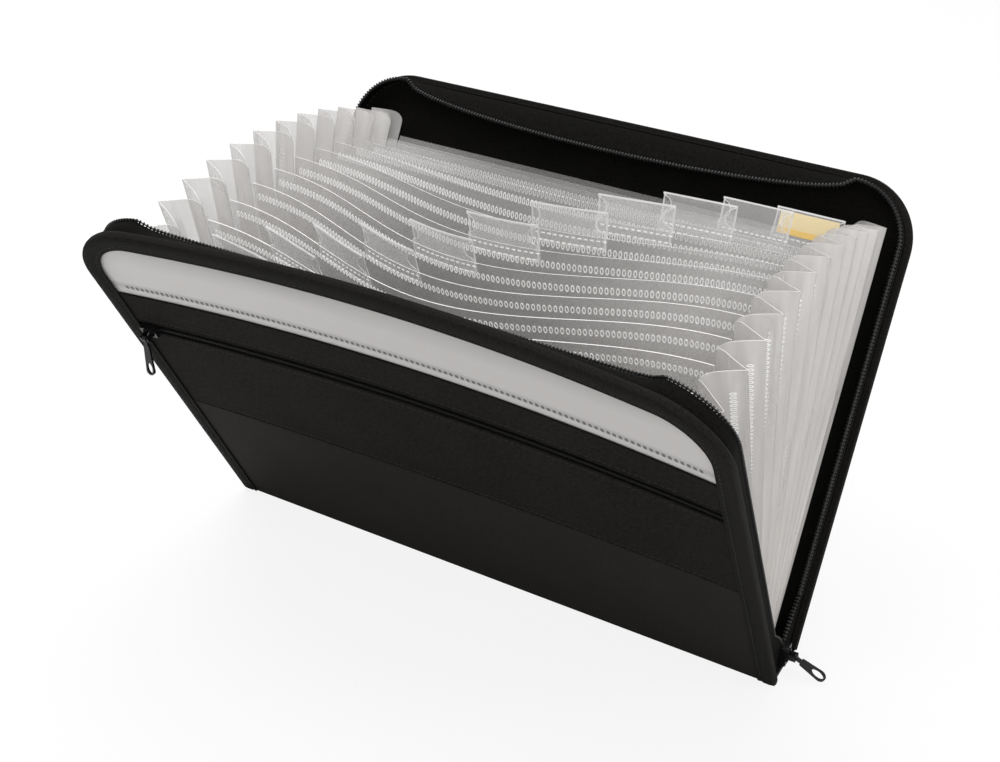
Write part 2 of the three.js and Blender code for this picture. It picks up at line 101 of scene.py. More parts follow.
GUSSET_CORNER = 6
GUSSET_CORNER_SHARE = 0.3
TAB_WIDTH = 37
TAB_RISE = 14
TAB_LAP = 7
TAB_GAP = 0.35
TAB_WALL = 0.3
TAB_BORDER = 0.8
TAB_NOTCH_DEPTH = 4.6
TAB_NOTCH_HALF = 4.9
LABEL_HEIGHT = 12
LABEL_STRIP = 3.2
LABEL_MARGIN = 2.5
FIRST_TAB_X = -98

# Steps of the panels' grids
PANEL_COLUMNS = 49
CORNER_ROWS = 14

# Marks and teeth
TOOTH_PITCH = 1.9
TOOTH_LENGTH = 0.95
WELD_PITCH = 2.5
WELD_DROP = 7.5
WELD_SHARE = 0.62
# Half width of the painted shade that darkens the middle of each pocket sheet
PAINTED_SHADE_HALF = 40
WINDOW_MARK_PITCH = 3.0
WINDOW_MARK_UP = 5.5
# Heights over which the window's painted shadow darkens towards its top
WINDOW_SHADE_LOW = 222
WINDOW_SHADE_HIGH = 246
WELD_RING = (1.8, 4.0, 0.4, 0.25)
COMB_RING = (3.4, 1.7, 0.42, 0.25)
COMB_LOW = 24
COMB_TOP_MARGIN = 12
BINDING_SEAM = 2.2
PANEL_SEAM = 2.8
HEM_ABOVE = 0.7
STITCH_PITCH = 3.2

# Shares of their depth given in the soft pieces' squash data
COVER_KEEP = 0.45
FILM_KEEP = 0.04
GUSSET_KEEP = 0.15
END_GUSSET_KEEP = 0.12

FRONT_HINGE = "front_cover_hinge"
BACK_HINGE = "back_cover_hinge"
FRONT = {"name": "front", "sign": -1, "lean": math.radians(26.2), "bow": 13, "body": "front_cover"}
BACK = {"name": "back", "sign": 1, "lean": math.radians(30.3), "bow": 3, "body": "back_cover"}


# Meshes
class Shell:
    """Points, faces, grain coordinates and material slots of one piece."""

    def __init__(self):
        self.points, self.grain, self.faces, self.slots = [], [], [], []
        self.count = 0

    def add(self, points, faces, grain, slot=0):
        points = np.asarray(points, float).reshape(-1, 3)
        self.points.append(points)
        self.grain.append(np.asarray(grain, float).reshape(-1, 3))
        self.faces += [tuple(self.count + v for v in face) for face in faces]
        self.slots += [slot] * len(faces)
        self.count += len(points)


def grid_faces(rows, columns, closed=False):
    faces = []
    for j in range(rows - 1):
        for i in range(columns if closed else columns - 1):
            after = (i + 1) % columns
            low, high = j * columns, (j + 1) * columns
            faces.append((low + i, low + after, high + after, high + i))
    return faces


def tube_faces(stations, around):
    """Faces of a closed tube with flat ends."""
    faces = grid_faces(stations, around, closed=True)
    faces.append(tuple(range(around))[::-1])
    faces.append(tuple((stations - 1) * around + i for i in range(around)))
    return faces


def add_slab(shell, outer, inner, grain, slot=0, rim_slot=None, framed=False):
    """A closed slab between two grids of points; framed gives its sides and top the rim's slot."""
    rows, columns = outer.shape[:2]
    points = np.concatenate([outer.reshape(-1, 3), inner.reshape(-1, 3)])
    both = np.concatenate([grain.reshape(-1, 3), grain.reshape(-1, 3)])
    size = rows * columns
    skin = grid_faces(rows, columns)
    skin += [tuple(size + v for v in reversed(face)) for face in skin]
    ring = [i for i in range(columns)]
    ring += [j * columns + columns - 1 for j in range(1, rows)]
    ring += [(rows - 1) * columns + i for i in range(columns - 2, -1, -1)]
    ring += [j * columns for j in range(rows - 2, 0, -1)]
    rim = [(a, size + a, size + b, b) for a, b in zip(ring, ring[1:] + ring[:1])]
    start, first = shell.count, len(shell.slots)
    shell.add(points, skin, both, slot)
    if framed:
        edge = [j == rows - 2 or i in (0, columns - 2) for j in range(rows - 1) for i in range(columns - 1)]
        shell.slots[first:] = [rim_slot if at_edge else slot for at_edge in edge * 2]
    shell.faces += [tuple(start + v for v in face) for face in rim]
    shell.slots += [slot if rim_slot is None else rim_slot] * len(rim)


def add_sweep(shell, rings, grain):
    """A closed tube through rings of points."""
    shell.add(rings, tube_faces(*rings.shape[:2]), grain)


def make_piece(name, shell, materials, sharp_deg=40):
    mesh = bpy.data.meshes.new(name)
    points = np.concatenate(shell.points) * MM
    mesh.from_pydata(points.tolist(), [], shell.faces)
    for material in materials:
        mesh.materials.append(material)
    mesh.polygons.foreach_set("material_index", shell.slots)
    grain = mesh.attributes.new("grain", "FLOAT_VECTOR", "POINT")
    grain.data.foreach_set("vector", np.concatenate(shell.grain).ravel())
    work = bmesh.new()
    work.from_mesh(mesh)
    bmesh.ops.recalc_face_normals(work, faces=work.faces)
    work.to_mesh(mesh)
    work.free()
    mesh.shade_smooth()
    mesh.set_sharp_from_angle(angle=math.radians(sharp_deg))
    piece = bpy.data.objects.new(name, mesh)
    bpy.context.collection.objects.link(piece)
    return piece


def place(piece, body, nodes=(), squash=None):
    """The piece rides on its body and stands for its CAD nodes; with squash data it gets a mesh of its own.
    """
    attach(piece, body)
    if nodes:
        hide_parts(*nodes)
    if squash:
        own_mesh(piece)
    return piece


def add_marks(name, shell, material, body, squash):
    """Marks on clear film or a panel, too small to cast a shadow of their own."""
    piece = place(make_piece(name, shell, [material]), body, (), squash)
    piece.visible_shadow = False
    return piece


# Cover surface: x across, up along the cover, depth inwards from its outer face
def on_cover(cover, x, up, depth):
    x, up, depth = np.broadcast_arrays(np.asarray(x, float), up, depth)
    across = 1 - (x / (COVER_WIDTH / 2)) ** 2
    inward = depth + cover["bow"] * across * (np.maximum(up, 0) / COVER_HEIGHT) ** 1.5
    sine, cosine = math.sin(cover["lean"]), math.cos(cover["lean"])
    y = cover["sign"] * (BASE_DEPTH / 2 + up * sine - inward * cosine)
    return np.stack([x, y, up * cosine + inward * sine], axis=-1)


def cover_normal(cover):
    return (0, cover["sign"] * math.cos(cover["lean"]), -math.sin(cover["lean"]))


def cover_squash(cover, keep=COVER_KEEP, depth=0.0):
    """Squash data for a cover's pieces; none for the back cover at its own keep, as it hardly bows at all.
    """
    if cover is BACK and keep == COVER_KEEP:
        return None
    hinge = FRONT_HINGE if cover is FRONT else BACK_HINGE
    anchor = on_cover({**cover, "bow": 0}, 0, 0, depth) * MM
    return hinge, cover_normal(cover), tuple(anchor), keep


def half_width_at(up):
    over = np.maximum(0, up - (COVER_HEIGHT - CORNER_RADIUS))
    return COVER_WIDTH / 2 - CORNER_RADIUS + np.sqrt(np.maximum(0, CORNER_RADIUS**2 - over**2))


def panel_heights(low, high, rows):
    """Heights of a panel's rows, close together round the cover's top corners."""
    corner = COVER_HEIGHT - CORNER_RADIUS
    heights = list(np.linspace(low, min(high, corner), rows)) if low < corner else []
    if high > corner:
        first = math.asin(max(0, low - corner) / CORNER_RADIUS)
        last = math.asin(min(1, (high - corner) / CORNER_RADIUS))
        arc = corner + CORNER_RADIUS * np.sin(np.linspace(first, last, CORNER_ROWS))
        heights += list(arc[1:] if heights else arc)
    return np.array(heights)


def build_layers(cover, layers, skins):
    """A layer is: piece, material, slot (not used), CAD node, low and high edge, depth, thickness, rows."""
    share = np.linspace(-1, 1, PANEL_COLUMNS)
    for name, skin, slot, node, low, high, depth, thickness, rows in layers:
        heights = panel_heights(low, high, rows)
        x = half_width_at(heights)[:, None] * share[None, :]
        up = np.repeat(heights[:, None], PANEL_COLUMNS, axis=1)
        grain = np.stack([x, up, np.full_like(x, depth)], axis=-1)
        shell = Shell()
        add_slab(shell, on_cover(cover, x, up, depth), on_cover(cover, x, up, depth + thickness), grain)
        place(make_piece(name, shell, [skins[skin]]), cover["body"], [node], cover_squash(cover))


def edge_path(low, inset, spacing=6.0):
    """x and up of points along one side, round the top and down the other side."""
    radius = CORNER_RADIUS - inset
    straight_x = COVER_WIDTH / 2 - inset
    corner_x = COVER_WIDTH / 2 - CORNER_RADIUS
    corner_up = COVER_HEIGHT - CORNER_RADIUS
    side_steps = max(2, round((corner_up - low) / spacing))
    arc_steps = max(4, round(CORNER_RADIUS * math.pi / 2 / spacing * 2))
    top_steps = max(4, round(2 * corner_x / spacing))
    side = np.linspace(low, corner_up, side_steps + 1)[:-1]
    angle = np.linspace(0, math.pi / 2, arc_steps + 1)[:-1]
    top = np.linspace(-corner_x, corner_x, top_steps + 1)
    left_x = np.concatenate([np.full(side_steps, -straight_x), -corner_x - radius * np.cos(angle)])
    left_up = np.concatenate([side, corner_up + radius * np.sin(angle)])
    x = np.concatenate([left_x, top, -left_x[::-1]])
    up = np.concatenate([left_up, np.full(len(top), corner_up + radius), left_up[::-1]])
    return x, up


def droop_at(x, up):
    """How far the zip's free edge sags below the cover's edge along the top."""
    along = np.maximum(0, 1 - (x / (COVER_WIDTH / 2 - CORNER_RADIUS)) ** 2)
    share = np.clip((up - (COVER_HEIGHT - CORNER_RADIUS)) / (CORNER_RADIUS - 1), 0, 1)
    return ZIP_BAND_DROOP * np.sqrt(along) * share * share * (3 - 2 * share)


def edge_point(cover, low, inset, depth, droop, spacing=6.0):
    x, up = edge_path(low, inset, spacing)
    return on_cover(cover, x, up - droop * droop_at(x, up), depth)


def path_lengths(points):
    steps = np.linalg.norm(np.diff(points, axis=0), axis=1)
    return np.concatenate([[0], np.cumsum(steps)])


def add_edge_strip(shell, cover, low, profile):
    """Sweeps a closed outline of (inset, depth, droop) round the edge of a cover."""
    rings = np.stack([edge_point(cover, low, *corner) for corner in profile], axis=1)
    along = path_lengths(rings[:, 0])
    across = path_lengths(np.array([[inset, depth] for inset, depth, _ in profile]))
    grain = np.zeros_like(rings)
    grain[..., 0] = along[:, None]
    grain[..., 1] = across[None, :]
    add_sweep(shell, rings, grain)


def resample(points, pitch, start=0.0):
    lengths = path_lengths(points)
    wanted = np.arange(start, lengths[-1] - pitch / 2, pitch)
    columns = [np.interp(wanted, lengths, points[:, axis]) for axis in range(3)]
    return np.stack(columns, axis=-1)


def unit(vectors):
    return vectors / np.linalg.norm(vectors, axis=-1, keepdims=True)


def add_copies(shell, outline, faces, centres, along, across, raised):
    """Copies a small outline given in (along, across, raised) to each centre."""
    outline = np.asarray(outline, float)
    for centre, t, a, n in zip(centres, along, across, raised):
        points = centre + outline @ np.stack([t, a, n])
        grain = outline + centre[0]
        shell.add(points, faces, grain)


def rounded_bar(length, width, height, sides=8):
    """Outline and faces of a short bar with rounded section and tapered ends."""
    angle = np.linspace(0, 2 * math.pi, sides, endpoint=False) + math.pi / sides
    round_x, round_z = np.cos(angle) * width / 2, np.sin(angle) * height / 2
    rings = []
    for share, taper in ((-1, 0.55), (-0.72, 1), (0.72, 1), (1, 0.55)):
        ring = np.stack([np.full(sides, share * length / 2), round_x * taper, round_z * taper], axis=-1)
        rings.append(ring)
    return np.concatenate(rings), tube_faces(len(rings), sides)


def oval_ring(width, height, wall, raised, sides=12):
    """Outline and faces of a raised oval ring lying in the film's plane."""
    angle = np.linspace(0, 2 * math.pi, sides, endpoint=False)
    loops = []
    for shrink, rise in ((0, 0), (0, raised), (wall, raised), (wall, 0)):
        wide, tall = width / 2 - shrink, height / 2 - shrink
        loop = np.stack([np.cos(angle) * wide, np.sin(angle) * tall, np.full(sides, rise)], axis=-1)
        loops.append(loop)
    faces = grid_faces(len(loops), sides, closed=True)
    faces += [(3 * sides + i, 3 * sides + (i + 1) % sides, (i + 1) % sides, i) for i in range(sides)]
    return np.concatenate(loops), faces


# Divider surface: x across, up from its foot, offset towards the back
def divider_angle(k):
    return math.radians(FIRST_DEG + (LAST_DEG - FIRST_DEG) * (k - 1) / (DIVIDERS - 1))


def divider_foot(k):
    return (k - (DIVIDERS + 1) / 2) * DIVIDER_PITCH


def on_divider(k, x, up, offset):
    x, up, offset = np.broadcast_arrays(np.asarray(x, float), up, offset)
    amplitude = DIVIDER_BOW * math.sin(math.pi * (k + 0.7) / (DIVIDERS + 1))
    bell = np.cos(np.pi / 2 * np.clip(x / DIVIDER_HALF, -1, 1)) ** 2
    out = offset - amplitude * bell * (np.maximum(up, 0) / DIVIDER_HEIGHT) ** 1.3
    sine, cosine = math.sin(divider_angle(k)), math.cos(divider_angle(k))
    y = divider_foot(k) + up * sine + out * cosine
    return np.stack([x, y, BELLOWS_FOOT + up * cosine - out * sine], axis=-1)


def divider_frame(k, x, up):
    """Directions along x, up the film and out of it towards the front."""
    step = 0.5
    along = unit(on_divider(k, x + step, up, 0) - on_divider(k, x - step, up, 0))
    upward = unit(on_divider(k, x, up + step, 0) - on_divider(k, x, up - step, 0))
    return along, upward, unit(np.cross(along, upward))


def divider_body(k):
    return "base" if k == 5 else f"divider_{k:02d}"


def divider_squash(k, keep=FILM_KEEP, joint=FRONT_HINGE):
    angle = divider_angle(k)
    anchor = (0, divider_foot(k) * MM, BELLOWS_FOOT * MM)
    return joint, (0, math.cos(angle), -math.sin(angle)), anchor, keep


# Materials
def new_material(name):
    material = bpy.data.materials.new(name)
    material.use_nodes = True
    return material, material.node_tree.nodes, material.node_tree.links


def math_node(nodes, links, operation, *values):
    node = nodes.new("ShaderNodeMath")
    node.operation = operation
    for socket, value in zip(node.inputs, values):
        if isinstance(value, (int, float)):
            socket.default_value = value
        else:
            links.new(value, socket)
    return node.outputs[0]


def stretched(nodes, links, vector, scale):
    mapping = nodes.new("ShaderNodeMapping")
    mapping.inputs["Scale"].default_value = scale
    links.new(vector, mapping.inputs["Vector"])
    return mapping.outputs[0]


def grain_axes(nodes, links, from_shape=False):
    """Grain in mm: from the piece's own attribute, or from its shape where it has none."""
    parts = nodes.new("ShaderNodeSeparateXYZ")
    if from_shape:
        shape = nodes.new("ShaderNodeTexCoord").outputs["Object"]
        vector = stretched(nodes, links, shape, (1 / MM, 1 / MM, 1 / MM))
    else:
        attribute = nodes.new("ShaderNodeAttribute")
        attribute.attribute_name = "grain"
        vector = attribute.outputs["Vector"]
    links.new(vector, parts.inputs[0])
    return vector, parts.outputs[0], parts.outputs[1]


def noise(nodes, links, vector, scale, detail=3.0, roughness=0.55):
    node = nodes.new("ShaderNodeTexNoise")
    node.inputs["Scale"].default_value = scale
    node.inputs["Detail"].default_value = detail
    node.inputs["Roughness"].default_value = roughness
    links.new(vector, node.inputs["Vector"])
    return node.outputs[0]


def ramp(nodes, links, value, low, high, low_color, high_color):
    node = nodes.new("ShaderNodeValToRGB")
    first, last = node.color_ramp.elements
    first.position, last.position = low, high
    first.color, last.color = (*low_color, 1), (*high_color, 1)
    links.new(value, node.inputs[0])
    return node.outputs[0]


def spread(nodes, links, value, low, high, start=0.0, end=1.0, smooth=False):
    """Maps start..end to low..high."""
    node = nodes.new("ShaderNodeMapRange")
    node.interpolation_type = "SMOOTHSTEP" if smooth else "LINEAR"
    node.inputs["From Min"].default_value = start
    node.inputs["From Max"].default_value = end
    node.inputs["To Min"].default_value = low
    node.inputs["To Max"].default_value = high
    links.new(value, node.inputs["Value"])
    return node.outputs[0]


def bump(nodes, links, height, strength, distance_mm):
    node = nodes.new("ShaderNodeBump")
    node.inputs["Strength"].default_value = strength
    node.inputs["Distance"].default_value = distance_mm * MM
    links.new(height, node.inputs["Height"])
    return node.outputs["Normal"]


def thread_height(nodes, links, position, pitch):
    turn = math_node(nodes, links, "MULTIPLY", position, math.pi / pitch)
    return math_node(nodes, links, "ABSOLUTE", math_node(nodes, links, "SINE", turn))


def fabric(name, color, pitch, depth=0.08, fuzz=1.0, specular=0.05, roughness=0.85, blotch=1.0,
           from_shape=False):
    """Plain weave: two thread directions, uneven yarn and a soft colour change."""
    material, nodes, links = new_material(name)
    shader = nodes["Principled BSDF"]
    vector, along, across = grain_axes(nodes, links, from_shape)
    warp = thread_height(nodes, links, along, pitch)
    weft = thread_height(nodes, links, across, pitch)
    checks = nodes.new("ShaderNodeTexChecker")
    checks.inputs["Scale"].default_value = 1 / pitch
    checks.inputs["Color1"].default_value = (1, 1, 1, 1)
    checks.inputs["Color2"].default_value = (0, 0, 0, 1)
    links.new(vector, checks.inputs["Vector"])
    woven = nodes.new("ShaderNodeMix")
    woven.data_type = "FLOAT"
    links.new(checks.outputs["Fac"], woven.inputs["Factor"])
    links.new(warp, woven.inputs["A"])
    links.new(weft, woven.inputs["B"])
    yarn = noise(nodes, links, vector, 0.9 * fuzz, 4.0, 0.7)
    height = math_node(nodes, links, "ADD", woven.outputs["Result"], yarn)
    links.new(bump(nodes, links, height, 0.6, depth), shader.inputs["Normal"])
    broad = noise(nodes, links, vector, 0.02, 3.0)
    slow_tone = math_node(nodes, links, "MULTIPLY", broad, 0.25)
    tone = math_node(nodes, links, "MULTIPLY_ADD", yarn, 1.3, slow_tone)
    darker = [c * (1 - 0.65 * blotch) for c in color]
    lighter = [c * (1 + 2.2 * blotch) for c in color]
    links.new(ramp(nodes, links, tone, 0.5, 1.06, darker, lighter), shader.inputs["Base Color"])
    links.new(spread(nodes, links, yarn, roughness - 0.1, roughness + 0.08), shader.inputs["Roughness"])
    shader.inputs["Specular IOR Level"].default_value = specular
    return material


def ribbed_tape(name, color, rib, specular=0.05):
    """Narrow woven tape: fine ribs across its width and a slightly uneven face."""
    material, nodes, links = new_material(name)
    shader = nodes["Principled BSDF"]
    vector, along, across = grain_axes(nodes, links)
    ribs = thread_height(nodes, links, along, rib)
    edge = thread_height(nodes, links, across, rib * 2.2)
    rough = noise(nodes, links, vector, 0.7, 4.0, 0.7)
    height = math_node(nodes, links, "ADD", ribs, math_node(nodes, links, "MULTIPLY", edge, 0.4))
    height = math_node(nodes, links, "ADD", height, rough)
    links.new(bump(nodes, links, height, 0.8, 0.22), shader.inputs["Normal"])
    tone = ramp(nodes, links, rough, 0.3, 0.75, [c * 0.3 for c in color], [c * 2.6 for c in color])
    links.new(tone, shader.inputs["Base Color"])
    links.new(spread(nodes, links, rough, 0.7, 0.95), shader.inputs["Roughness"])
    shader.inputs["Specular IOR Level"].default_value = specular
    return material


def clear_film(name, color, alpha, roughness, streak=0.0, specular=0.5, ripple=0.35, painted_glow=None, painted_middle_shade=None):
    """Translucent film with haze streaks and slow ripples in its gloss. Its glow is painted
    light, an emission set at the film's foot and at its top; its middle shade is painted shade that darkens
    the middle of a wide sheet."""
    material, nodes, links = new_material(name)
    shader = nodes["Principled BSDF"]
    vector, along, across = grain_axes(nodes, links)
    slow = noise(nodes, links, stretched(nodes, links, vector, (0.12, 0.012, 0.05)), 1.0, 1.0)
    shader.inputs["Alpha"].default_value = alpha
    if streak:
        haze = spread(nodes, links, slow, alpha * (1 - streak), alpha * (1 + streak))
        links.new(haze, shader.inputs["Alpha"])
    if ripple:
        links.new(bump(nodes, links, slow, ripple, 3.0), shader.inputs["Normal"])
    tint = ramp(nodes, links, slow, 0.3, 0.7, [c * 0.94 for c in color], color)
    # Painted shade: the sheet's middle is darker, fading out towards its sides
    if painted_middle_shade:
        off_centre = math_node(nodes, links, "ABSOLUTE", along)
        side = spread(nodes, links, off_centre, 0, 1, PAINTED_SHADE_HALF, DIVIDER_HALF, smooth=True)
        shaded_middle = nodes.new("ShaderNodeMix")
        shaded_middle.data_type = "RGBA"
        links.new(side, shaded_middle.inputs["Factor"])
        shaded_middle.inputs["A"].default_value = (*[c * painted_middle_shade for c in color], 1)
        links.new(tint, shaded_middle.inputs["B"])
        tint = shaded_middle.outputs["Result"]
    links.new(tint, shader.inputs["Base Color"])
    # Painted light: an emission whose strength runs from the film's foot to its top
    if painted_glow:
        strength = spread(nodes, links, across, *painted_glow, 0, GUSSET_HEIGHT)
        links.new(strength, shader.inputs["Emission Strength"])
        shader.inputs["Emission Color"].default_value = (*color, 1)
    links.new(spread(nodes, links, slow, roughness * 0.8, roughness * 1.3), shader.inputs["Roughness"])
    shader.inputs["Specular IOR Level"].default_value = specular
    return material


def gloss_black(name, color, roughness, specular):
    """Enamel or moulded plastic with fine wear in its gloss."""
    material, nodes, links = new_material(name)
    shader = nodes["Principled BSDF"]
    position = nodes.new("ShaderNodeTexCoord").outputs["Object"]
    fine = noise(nodes, links, position, 900.0, 4.0)
    broad = noise(nodes, links, position, 120.0, 2.0)
    links.new(ramp(nodes, links, broad, 0.3, 0.7, [c * 0.7 for c in color], [c * 1.3 for c in color]),
              shader.inputs["Base Color"])
    links.new(spread(nodes, links, fine, roughness * 0.75, roughness * 1.35), shader.inputs["Roughness"])
    links.new(bump(nodes, links, fine, 0.15, 0.05), shader.inputs["Normal"])
    shader.inputs["Specular IOR Level"].default_value = specular
    return material


def frosted_window(name):
    """Frosted film, grey from what lies behind it, with a painted shadow darkening its top and painted
    shade in a band round the row of marks.
    """
    material, nodes, links = new_material(name)
    shader = nodes["Principled BSDF"]
    vector, along, across = grain_axes(nodes, links)
    cloud = noise(nodes, links, stretched(nodes, links, vector, (0.008, 0.028, 0.0)), 1.0, 2.0, 0.4)
    # Painted shadow: the window darkens towards its top, broken up by the cloud noise
    painted_top_shadow = spread(nodes, links, across, 0, 1, WINDOW_SHADE_LOW, WINDOW_SHADE_HIGH)
    shade = math_node(nodes, links, "MULTIPLY", painted_top_shadow, cloud)
    # Painted shade: a soft dark band round the row of marks
    from_marks = math_node(nodes, links, "SUBTRACT", across, WINDOW_BOTTOM + WINDOW_MARK_UP + 1)
    off_marks = math_node(nodes, links, "ABSOLUTE", from_marks)
    painted_mark_band_shade = spread(nodes, links, off_marks, 0, 0.4, 4.5, 0.5, smooth=True)
    shade = math_node(nodes, links, "MAXIMUM", shade, painted_mark_band_shade)
    tone = ramp(nodes, links, shade, 0.1, 0.75, (0.56, 0.543, 0.53), (0.3, 0.292, 0.283))
    links.new(tone, shader.inputs["Base Color"])
    fine = noise(nodes, links, vector, 1.6, 3.0)
    links.new(bump(nodes, links, fine, 0.12, 0.06), shader.inputs["Normal"])
    links.new(spread(nodes, links, cloud, 0.4, 0.5), shader.inputs["Roughness"])
    shader.inputs["Alpha"].default_value = 0.9
    shader.inputs["Specular IOR Level"].default_value = 0.3
    return material


def card(name, color, painted_glow=0.0):
    """Printed card with a faint fibre. Its glow is painted light, an even emission in the card's own
    colour.
    """
    material, nodes, links = new_material(name)
    shader = nodes["Principled BSDF"]
    vector, along, across = grain_axes(nodes, links)
    fibre = noise(nodes, links, vector, 1.2, 5.0)
    tone = ramp(nodes, links, fibre, 0.3, 0.7, [c * 0.95 for c in color], color)
    links.new(tone, shader.inputs["Base Color"])
    links.new(bump(nodes, links, fibre, 0.15, 0.05), shader.inputs["Normal"])
    shader.inputs["Roughness"].default_value = 0.7
    # Painted light: the card glows evenly in its own colour
    shader.inputs["Emission Color"].default_value = (*color, 1)
    shader.inputs["Emission Strength"].default_value = painted_glow
    return material


def make_materials():
    return {
        "nylon": fabric("nylon_weave", (0.0044, 0.004, 0.0035), 0.55, depth=0.14, fuzz=0.55, specular=0.08,
                        blotch=1.2),
        "lower": fabric("coated_cloth", (0.0118, 0.011, 0.0098), 0.4, depth=0.03, fuzz=0.6, specular=0.05,
                        roughness=0.7, blotch=0.35),
        "lining": fabric("lining_weave", (0.0024, 0.0023, 0.002), 0.4, depth=0.04, specular=0.03,
                         roughness=0.7),
        "board": fabric("grey_board", (0.03, 0.03, 0.03), 1.2, depth=0.02),
        "base_cloth": fabric("base_weave", (0.0045, 0.0041, 0.0036), 0.55, from_shape=True),
        "base_board": fabric("base_board_grey", (0.03, 0.03, 0.03), 1.2, depth=0.02, from_shape=True),
        "base_lining": fabric("base_lining_weave", (0.0038, 0.0036, 0.0033), 0.4, depth=0.04,
                              from_shape=True),
        "binding": ribbed_tape("binding_tape", (0.0052, 0.0048, 0.0042), 1.1, specular=0.12),
        "tape": ribbed_tape("zip_tape_weave", (0.0036, 0.0034, 0.003), 0.8),
        "thread": gloss_black("stitch_thread", (0.02, 0.018, 0.017), 0.6, specular=0.25),
        "coil": gloss_black("moulded_coil", (0.008, 0.008, 0.0076), 0.35, specular=0.4),
        "dull_coil": gloss_black("pocket_coil", (0.0035, 0.0034, 0.0032), 0.6, specular=0.12),
        "metal": gloss_black("black_enamel", (0.006, 0.006, 0.0065), 0.25, specular=0.4),
        "window": frosted_window("frosted_film"),
        "mark": card("window_marks", (0.13, 0.127, 0.123)),
        # Pocket film: painted shade darkens the middle of each sheet
        "film": clear_film("pocket_film", (0.72, 0.705, 0.69), 0.27, 0.35, ripple=0, painted_middle_shade=0.62),
        # Gusset film: painted light, an emission at its foot that fades out towards its top
        "gusset": clear_film("gusset_film", (0.8, 0.775, 0.755), 0.38, 0.22, streak=0.6, ripple=1.0,
                             painted_glow=(0.2, 0.0)),
        "rim": clear_film("film_edge", (0.85, 0.84, 0.83), 1.0, 0.25, ripple=0),
        "tab_rim": clear_film("tab_edge", (0.9, 0.89, 0.88), 0.55, 0.15),
        "gusset_rim": clear_film("gusset_edge", (0.85, 0.84, 0.83), 0.55, 0.3, ripple=0),
        # Weld marks: painted light, an even emission
        "weld": clear_film("weld_marks", (0.92, 0.915, 0.91), 1.0, 0.25, ripple=0, painted_glow=(0.14, 0.14)),
        "tab": clear_film("tab_film", (0.85, 0.84, 0.83), 0.15, 0.08, specular=0.9, ripple=0.5),
        # Label card and strip: painted light, a faint even emission
        "card": card("label_card", (0.93, 0.72, 0.32), painted_glow=0.15),
        "strip": card("label_strip", (0.97, 0.58, 0.001), painted_glow=0.15),
    }


# Covers
def build_front_skins(skins):
    foot, lap = FLOOR_CLEARANCE, PANEL_LAP
    board_deep = BOARD_DEPTH + ZIP_TAPE + FIT_GAP
    board_thick = LINING_DEPTH - FIT_GAP - board_deep
    panel_low = LOWER_PANEL_TOP + FIT_GAP
    tape_low, tape_high = SLOT_LOW - lap / 2, SLOT_HIGH + lap / 2
    window_low, lining_high = WINDOW_BOTTOM - lap, WINDOW_BOTTOM - FIT_GAP
    build_layers(FRONT, [
        ("lower_panel_cloth", "lower", "lower_cloth", "front_lower_panel", foot, LOWER_PANEL_TOP, 0,
         FABRIC, 12),
        ("pocket_panel_cloth", "nylon", "nylon", "front_pocket_panel", panel_low, SLOT_LOW, 0, FABRIC, 12),
        ("zip_facing_cloth", "nylon", "nylon", "front_zip_facing", SLOT_HIGH, WINDOW_BOTTOM, 0, FABRIC, 12),
        ("window_sheet", "window", "window_film", "front_window", window_low, COVER_HEIGHT, BOARD_DEPTH,
         WINDOW_THICKNESS, 12),
        ("front_board_sheet", "board", "board", "front_board", foot, window_low - FIT_GAP, board_deep,
         board_thick, 12),
        ("front_lining_cloth", "lining", "lining", "front_lining", foot, lining_high, LINING_DEPTH,
         FABRIC, 12),
        ("pocket_tape_cloth", "tape", "zip_tape", "pocket_zip_tape", tape_low, tape_high, BOARD_DEPTH,
         ZIP_TAPE, 4),
    ], skins)


def build_back_skins(skins):
    foot, top = FLOOR_CLEARANCE, COVER_HEIGHT
    build_layers(BACK, [
        ("back_shell_cloth", "nylon", "nylon", "back_outer_cloth", foot, top, 0, FABRIC, 24),
        ("back_board_sheet", "board", "board", "back_board", foot, top, BOARD_DEPTH, BOARD, 24),
        ("back_lining_cloth", "lining", "lining", "back_lining", foot, top, LINING_DEPTH, FABRIC, 24),
    ], skins)


def binding_outline():
    """Rounded section of the tape folded over the cover's edge, with two low ridges."""
    skin = FIT_GAP + BINDING_THICKNESS
    inner_depth = COVER_THICKNESS + FIT_GAP
    foot = ZIP_BAND_INSET - FIT_GAP - 0.2
    outline = [(BINDING_WIDTH, -FIT_GAP, 0), (BINDING_WIDTH, -skin, 0)]
    outline += [(BINDING_WIDTH - 1, -skin - 0.15, 0), (BINDING_WIDTH - 2.5, -skin + 0.15, 0)]
    outline += [(6, -skin - 0.25, 0), (2.5, -skin - 0.35, 0)]
    middle = inner_depth / 2 - 0.2
    reach = middle + skin + 0.3
    for angle in np.radians([60, 30, 0, -30, -60]):
        outline.append((0.3 - 1.3 * math.cos(angle), middle - reach * math.sin(angle), 0))
    outline += [(foot, inner_depth + BINDING_THICKNESS, 0), (foot, inner_depth, 0)]
    outline += [(-FIT_GAP, inner_depth, 0), (-FIT_GAP, -FIT_GAP, 0)]
    return outline


def tape_outline():
    """Section of the zip tape, which bulges a little before it reaches the coil."""
    foot = ZIP_BAND_DEPTH - COIL_HEIGHT
    share = np.linspace(0, 1, 8)
    depth = BAND_START + (foot - BAND_START) * share
    inset = ZIP_BAND_INSET - 0.8 * np.sin(math.pi * share)
    droop = share**1.6
    outer = [(float(i), float(d), float(s)) for i, d, s in zip(inset, depth, droop)]
    return outer + [(i + ZIP_TAPE, d, s) for i, d, s in reversed(outer)]


def cover_frame(cover, points):
    """Directions along an edge path, across it and out of the cover's inner side."""
    along = unit(np.gradient(points, axis=0))
    inward = -np.array(cover_normal(cover))
    raised = unit(inward - (along @ inward)[:, None] * along)
    return along, unit(np.cross(raised, along)), raised


